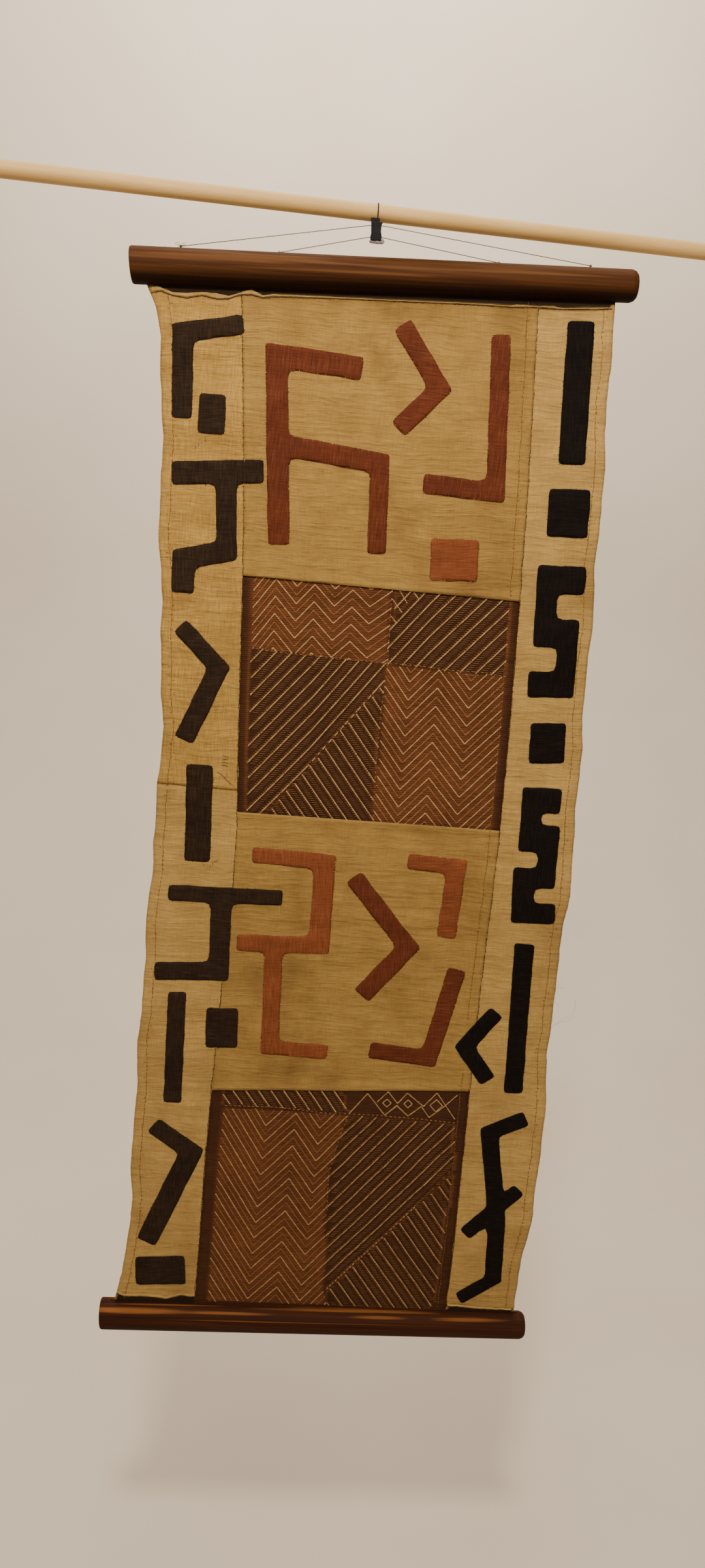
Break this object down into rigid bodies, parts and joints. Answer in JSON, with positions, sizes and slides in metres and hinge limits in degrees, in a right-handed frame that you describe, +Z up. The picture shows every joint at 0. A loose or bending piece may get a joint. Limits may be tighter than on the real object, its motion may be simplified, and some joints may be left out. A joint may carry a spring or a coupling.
{
  "type": "pieced raffia cloth hanging between two wooden battens, with the rod it hangs from",
  "caption": "Tall pieced raffia cloth with appliqués and ribbed squares between two round wooden battens, hung by threads from a clip on a dowel.",
  "frame": {"origin": "on the rod's centre line, over the clip's hook", "axes": "+Z up; +X along the cloth's width, to the right of someone who faces it; -Y the way the cloth's face looks"},
  "size_m": [0.8948, 0.1449, 1.5428],
  "materials": {
    "plain_raffia": "undyed plain-woven raffia, straw yellow",
    "ribbed_raffia": "brown ribbed raffia with stem-stitched lines",
    "black_raffia": "black-dyed plain-woven raffia",
    "red_raffia": "red-brown dyed plain-woven raffia",
    "rust_raffia": "faded rust dyed plain-woven raffia",
    "dark_wood": "stained and oiled",
    "pale_wood": "bare, sanded",
    "black_plastic": "matt",
    "black_wire": "blackened",
    "grey_thread": "twisted thread"
  },
  "bodies": {
    "root": {"support_rod": "pale_wood", "clip_hook": "black_wire", "clip_plate": "black_plastic", "clip_jaw": "black_plastic", "upper_thread": "grey_thread", "lower_thread": "grey_thread", "top_batten": "dark_wood", "bottom_batten": "dark_wood", "left_strip_upper": "plain_raffia", "left_strip_lower": "plain_raffia", "right_strip": "plain_raffia", "plain_panel_upper": "plain_raffia", "ribbed_square_upper": "ribbed_raffia", "plain_panel_lower": "plain_raffia", "ribbed_square_lower": "ribbed_raffia", "left_hook": "black_raffia", "left_square": "black_raffia", "left_table": "black_raffia", "left_chevron": "black_raffia", "left_bar": "black_raffia", "left_table_low": "black_raffia", "left_bar_low": "black_raffia", "left_square_low": "black_raffia", "left_seven": "black_raffia", "left_block": "black_raffia", "right_bar": "black_raffia", "right_round": "black_raffia", "right_ess": "black_raffia", "right_square": "black_raffia", "right_ess_low": "black_raffia", "right_bar_low": "black_raffia", "right_arrow": "black_raffia", "right_cross": "black_raffia", "red_aitch": "red_raffia", "red_chevron": "red_raffia", "red_jay": "red_raffia", "light_square": "rust_raffia", "rust_ess": "rust_raffia", "rust_seven": "rust_raffia", "red_chevron_low": "red_raffia", "red_jay_low": "red_raffia"}
  },
  "joints": []
}
